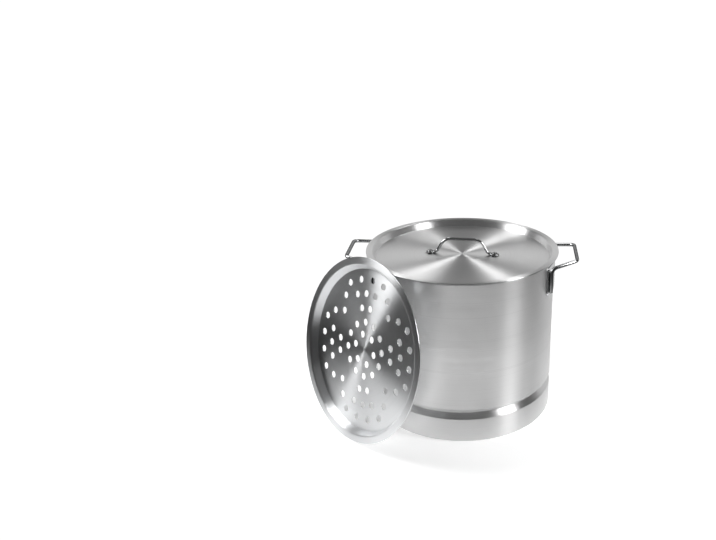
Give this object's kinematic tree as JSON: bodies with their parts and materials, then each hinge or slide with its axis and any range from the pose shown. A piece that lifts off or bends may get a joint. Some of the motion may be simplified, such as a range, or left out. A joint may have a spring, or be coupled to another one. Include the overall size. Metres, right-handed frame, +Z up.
{
  "type": "steamer pot",
  "caption": "Tall straight-sided aluminium steamer pot with a rolled-in ledge, recessed lid with a wire handle, riveted wire side handles, and a perforated steamer plate leaning against it.",
  "frame": {"origin": "centre of the pot's flat underside", "axes": "+Z up along the pot's axis, +X and -X out through the two side handles, -Y towards the front"},
  "size_m": [0.3822, 0.3206, 0.2465],
  "materials": {
    "pot_aluminium": "spun satin, fine lines round the wall",
    "lid_aluminium": "spun bright, fine circular lines",
    "plate_aluminium": "spun bright, fine circular lines",
    "handle_chrome": "polished plating",
    "rivet_steel": "bright, slightly worn"
  },
  "bodies": {
    "pot": {"pot_shell": "pot_aluminium", "right_handle_bracket": "handle_chrome", "left_handle_bracket": "handle_chrome", "right_handle_loop": "handle_chrome", "left_handle_loop": "handle_chrome", "right_handle_rivets": "rivet_steel", "left_handle_rivets": "rivet_steel"},
    "lid": {"lid_shell": "lid_aluminium", "lid_handle": "handle_chrome", "lid_rivets": "rivet_steel"},
    "steamer_plate_body": {"steamer_plate": "plate_aluminium"}
  },
  "joints": [
    {"name": "lid_lift", "type": "slide", "parent": "pot", "child": "lid", "axis": [0, 0, 1], "range_m": [0, 0.2]},
    {"name": "plate_draw_away", "type": "slide", "parent": "pot", "child": "steamer_plate_body", "axis": [-0.7071, -0.7071, 0], "range_m": [0, 0.15]}
  ]
}
